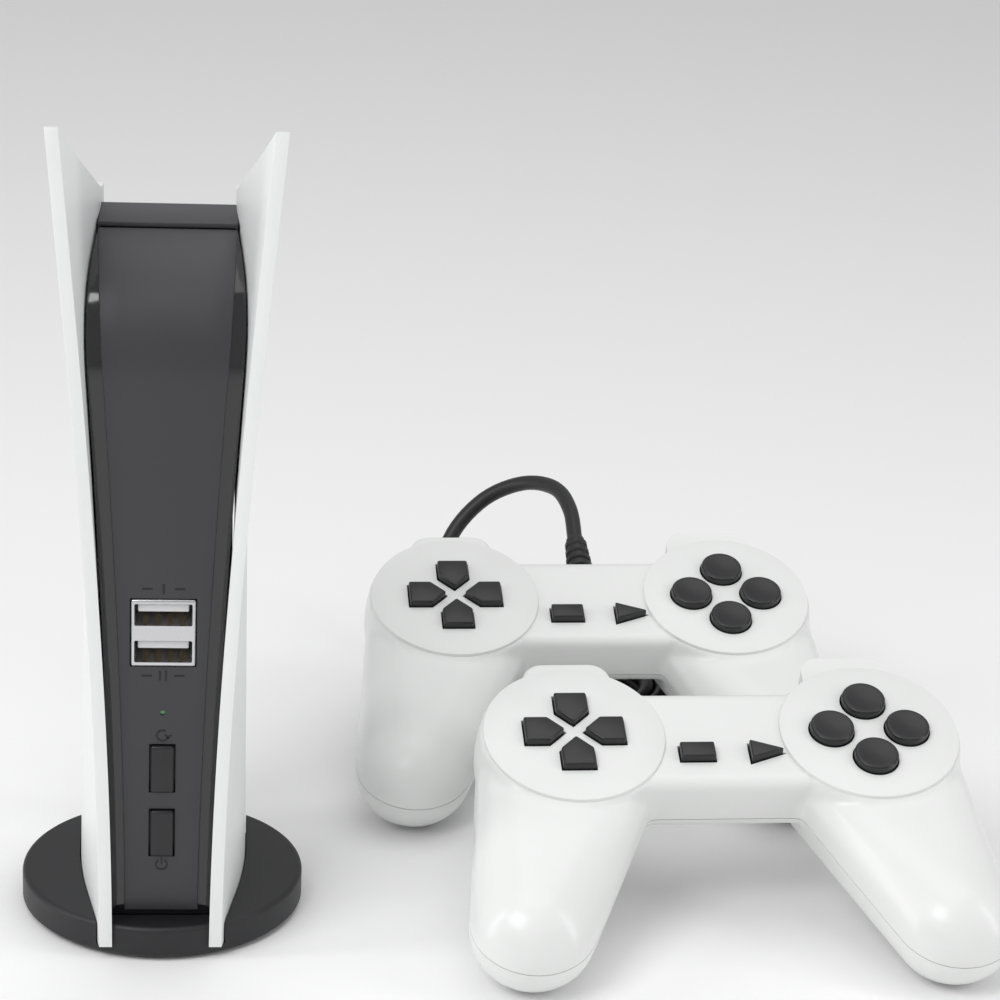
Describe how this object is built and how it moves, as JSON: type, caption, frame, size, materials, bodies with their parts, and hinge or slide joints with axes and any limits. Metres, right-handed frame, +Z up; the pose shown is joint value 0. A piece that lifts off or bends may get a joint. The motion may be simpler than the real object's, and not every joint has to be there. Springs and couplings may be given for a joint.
{
  "type": "game console with controllers",
  "caption": "Upright tower game console with two flared side fins on a round base, and two wired game controllers, one propped on the other, with a coiled lead.",
  "frame": {"origin": "centre of the console's round base, on the surface it stands on", "axes": "+X right along the row of pieces, +Y back, +Z up; the console's ports face -Y"},
  "size_m": [0.223, 0.2135, 0.19],
  "materials": {
    "black_matte": "fine matte",
    "foam": "matte",
    "steel": "brushed",
    "gloss_black": "gloss",
    "panel_grey": "matte",
    "fin_white": "satin",
    "port_white": "satin",
    "gold": "polished",
    "key_black": "satin",
    "led": "clear",
    "board_green": "satin",
    "wire_red": "satin",
    "pad_white": "satin",
    "mat_grey": "matte",
    "cord_black": "satin"
  },
  "bodies": {
    "console": {"base_disc": "black_matte", "base_pad": "foam", "base_weight": "steel", "base_screws": "steel", "front_shell": "gloss_black", "rear_shell": "gloss_black", "front_panel": "panel_grey", "left_fin": "fin_white", "right_fin": "fin_white", "usb_socket_shell": "steel", "usb_tongues": "port_white", "usb_contacts": "gold", "tact_switches": "black_matte", "status_led": "led", "main_board": "board_green", "game_chips": "black_matte", "jack_board": "board_green", "link_wires": "wire_red", "av_jack": "black_matte", "power_inlet": "black_matte", "body_screws": "steel"},
    "reset_key": {"reset_button": "key_black"},
    "power_key": {"power_button": "key_black"},
    "rear_pad": {"rear_top_case": "pad_white", "rear_bottom_case": "pad_white", "rear_rubber_mats": "mat_grey", "rear_circuit_board": "board_green", "rear_case_screws": "steel", "lead_relief": "cord_black", "lead_tube": "cord_black", "lead_coil": "cord_black", "plug_body": "cord_black", "plug_shell": "steel"},
    "rear_rocker": {"rear_dpad_pivot": "steel"},
    "rear_cross": {"rear_dpad": "key_black"},
    "rear_top_key": {"rear_top_button": "key_black"},
    "rear_bottom_key": {"rear_bottom_button": "key_black"},
    "rear_left_key": {"rear_left_button": "key_black"},
    "rear_right_key": {"rear_right_button": "key_black"},
    "rear_select_key": {"rear_select_button": "key_black"},
    "rear_start_key": {"rear_start_button": "key_black"},
    "rear_left_trigger": {"rear_left_shoulder": "pad_white"},
    "rear_right_trigger": {"rear_right_shoulder": "pad_white"},
    "front_pad": {"front_top_case": "pad_white", "front_bottom_case": "pad_white", "front_rubber_mats": "mat_grey", "front_circuit_board": "board_green", "front_case_screws": "steel"},
    "front_rocker": {"front_dpad_pivot": "steel"},
    "front_cross": {"front_dpad": "key_black"},
    "front_top_key": {"front_top_button": "key_black"},
    "front_bottom_key": {"front_bottom_button": "key_black"},
    "front_left_key": {"front_left_button": "key_black"},
    "front_right_key": {"front_right_button": "key_black"},
    "front_select_key": {"front_select_button": "key_black"},
    "front_start_key": {"front_start_button": "key_black"},
    "front_left_trigger": {"front_left_shoulder": "pad_white"},
    "front_right_trigger": {"front_right_shoulder": "pad_white"}
  },
  "joints": [
    {"name": "reset_press", "type": "slide", "parent": "console", "child": "reset_key", "axis": [0, 1, 0], "range_m": [0, 0.0007], "stiffness_N_per_m": 500, "springref_m": -0.001},
    {"name": "power_press", "type": "slide", "parent": "console", "child": "power_key", "axis": [0, 1, 0], "range_m": [0, 0.0007], "stiffness_N_per_m": 500, "springref_m": -0.001},
    {"name": "rear_pad_lift", "type": "slide", "parent": "console", "child": "rear_pad", "axis": [-0.0328, 0.9391, 0.342], "range_m": [0, 0.08]},
    {"name": "rear_dpad_pitch", "type": "hinge", "parent": "rear_pad", "child": "rear_rocker", "pos_m": [0.07148, 0.07999, 0.03823], "axis": [0.9994, 0.0349, 0], "range_deg": [-2.5, 2.5], "stiffness_Nm_per_rad": 0.3},
    {"name": "rear_dpad_roll", "type": "hinge", "parent": "rear_rocker", "child": "rear_cross", "pos_m": [0.07148, 0.07999, 0.03823], "axis": [-0.0328, 0.9391, 0.342], "range_deg": [-2.5, 2.5], "stiffness_Nm_per_rad": 0.3},
    {"name": "rear_top_press", "type": "slide", "parent": "rear_pad", "child": "rear_top_key", "axis": [-0.0119, 0.3418, -0.9397], "range_m": [0, 0.0012], "stiffness_N_per_m": 500, "springref_m": -0.001},
    {"name": "rear_bottom_press", "type": "slide", "parent": "rear_pad", "child": "rear_bottom_key", "axis": [-0.0119, 0.3418, -0.9397], "range_m": [0, 0.0012], "stiffness_N_per_m": 500, "springref_m": -0.001},
    {"name": "rear_left_press", "type": "slide", "parent": "rear_pad", "child": "rear_left_key", "axis": [-0.0119, 0.3418, -0.9397], "range_m": [0, 0.0012], "stiffness_N_per_m": 500, "springref_m": -0.001},
    {"name": "rear_right_press", "type": "slide", "parent": "rear_pad", "child": "rear_right_key", "axis": [-0.0119, 0.3418, -0.9397], "range_m": [0, 0.0012], "stiffness_N_per_m": 500, "springref_m": -0.001},
    {"name": "rear_select_press", "type": "slide", "parent": "rear_pad", "child": "rear_select_key", "axis": [-0.0119, 0.3418, -0.9397], "range_m": [0, 0.001], "stiffness_N_per_m": 500, "springref_m": -0.001},
    {"name": "rear_start_press", "type": "slide", "parent": "rear_pad", "child": "rear_start_key", "axis": [-0.0119, 0.3418, -0.9397], "range_m": [0, 0.001], "stiffness_N_per_m": 500, "springref_m": -0.001},
    {"name": "rear_left_trigger_press", "type": "hinge", "parent": "rear_pad", "child": "rear_left_trigger", "pos_m": [0.07197, 0.09458, 0.04353], "axis": [0.9994, 0.0349, 0], "range_deg": [-2, 0], "stiffness_Nm_per_rad": 1, "springref_deg": 1.72},
    {"name": "rear_right_trigger_press", "type": "hinge", "parent": "rear_pad", "child": "rear_right_trigger", "pos_m": [0.13893, 0.09692, 0.04353], "axis": [0.9994, 0.0349, 0], "range_deg": [-2, 0], "stiffness_Nm_per_rad": 1, "springref_deg": 1.72},
    {"name": "front_pad_lift", "type": "slide", "parent": "console", "child": "front_pad", "axis": [0, 0, 1], "range_m": [0, 0.08]},
    {"name": "front_dpad_pitch", "type": "hinge", "parent": "front_pad", "child": "front_rocker", "pos_m": [0.09348, -0.00001, 0.03823], "axis": [0.9994, 0.0349, 0], "range_deg": [-2.5, 2.5], "stiffness_Nm_per_rad": 0.3},
    {"name": "front_dpad_roll", "type": "hinge", "parent": "front_rocker", "child": "front_cross", "pos_m": [0.09348, -0.00001, 0.03823], "axis": [-0.0328, 0.9391, 0.342], "range_deg": [-2.5, 2.5], "stiffness_Nm_per_rad": 0.3},
    {"name": "front_top_press", "type": "slide", "parent": "front_pad", "child": "front_top_key", "axis": [-0.0119, 0.3418, -0.9397], "range_m": [0, 0.0012], "stiffness_N_per_m": 500, "springref_m": -0.001},
    {"name": "front_bottom_press", "type": "slide", "parent": "front_pad", "child": "front_bottom_key", "axis": [-0.0119, 0.3418, -0.9397], "range_m": [0, 0.0012], "stiffness_N_per_m": 500, "springref_m": -0.001},
    {"name": "front_left_press", "type": "slide", "parent": "front_pad", "child": "front_left_key", "axis": [-0.0119, 0.3418, -0.9397], "range_m": [0, 0.0012], "stiffness_N_per_m": 500, "springref_m": -0.001},
    {"name": "front_right_press", "type": "slide", "parent": "front_pad", "child": "front_right_key", "axis": [-0.0119, 0.3418, -0.9397], "range_m": [0, 0.0012], "stiffness_N_per_m": 500, "springref_m": -0.001},
    {"name": "front_select_press", "type": "slide", "parent": "front_pad", "child": "front_select_key", "axis": [-0.0119, 0.3418, -0.9397], "range_m": [0, 0.001], "stiffness_N_per_m": 500, "springref_m": -0.001},
    {"name": "front_start_press", "type": "slide", "parent": "front_pad", "child": "front_start_key", "axis": [-0.0119, 0.3418, -0.9397], "range_m": [0, 0.001], "stiffness_N_per_m": 500, "springref_m": -0.001},
    {"name": "front_left_trigger_press", "type": "hinge", "parent": "front_pad", "child": "front_left_trigger", "pos_m": [0.09397, 0.01458, 0.04353], "axis": [0.9994, 0.0349, 0], "range_deg": [-2, 0], "stiffness_Nm_per_rad": 1, "springref_deg": 1.72},
    {"name": "front_right_trigger_press", "type": "hinge", "parent": "front_pad", "child": "front_right_trigger", "pos_m": [0.16093, 0.01692, 0.04353], "axis": [0.9994, 0.0349, 0], "range_deg": [-2, 0], "stiffness_Nm_per_rad": 1, "springref_deg": 1.72}
  ]
}
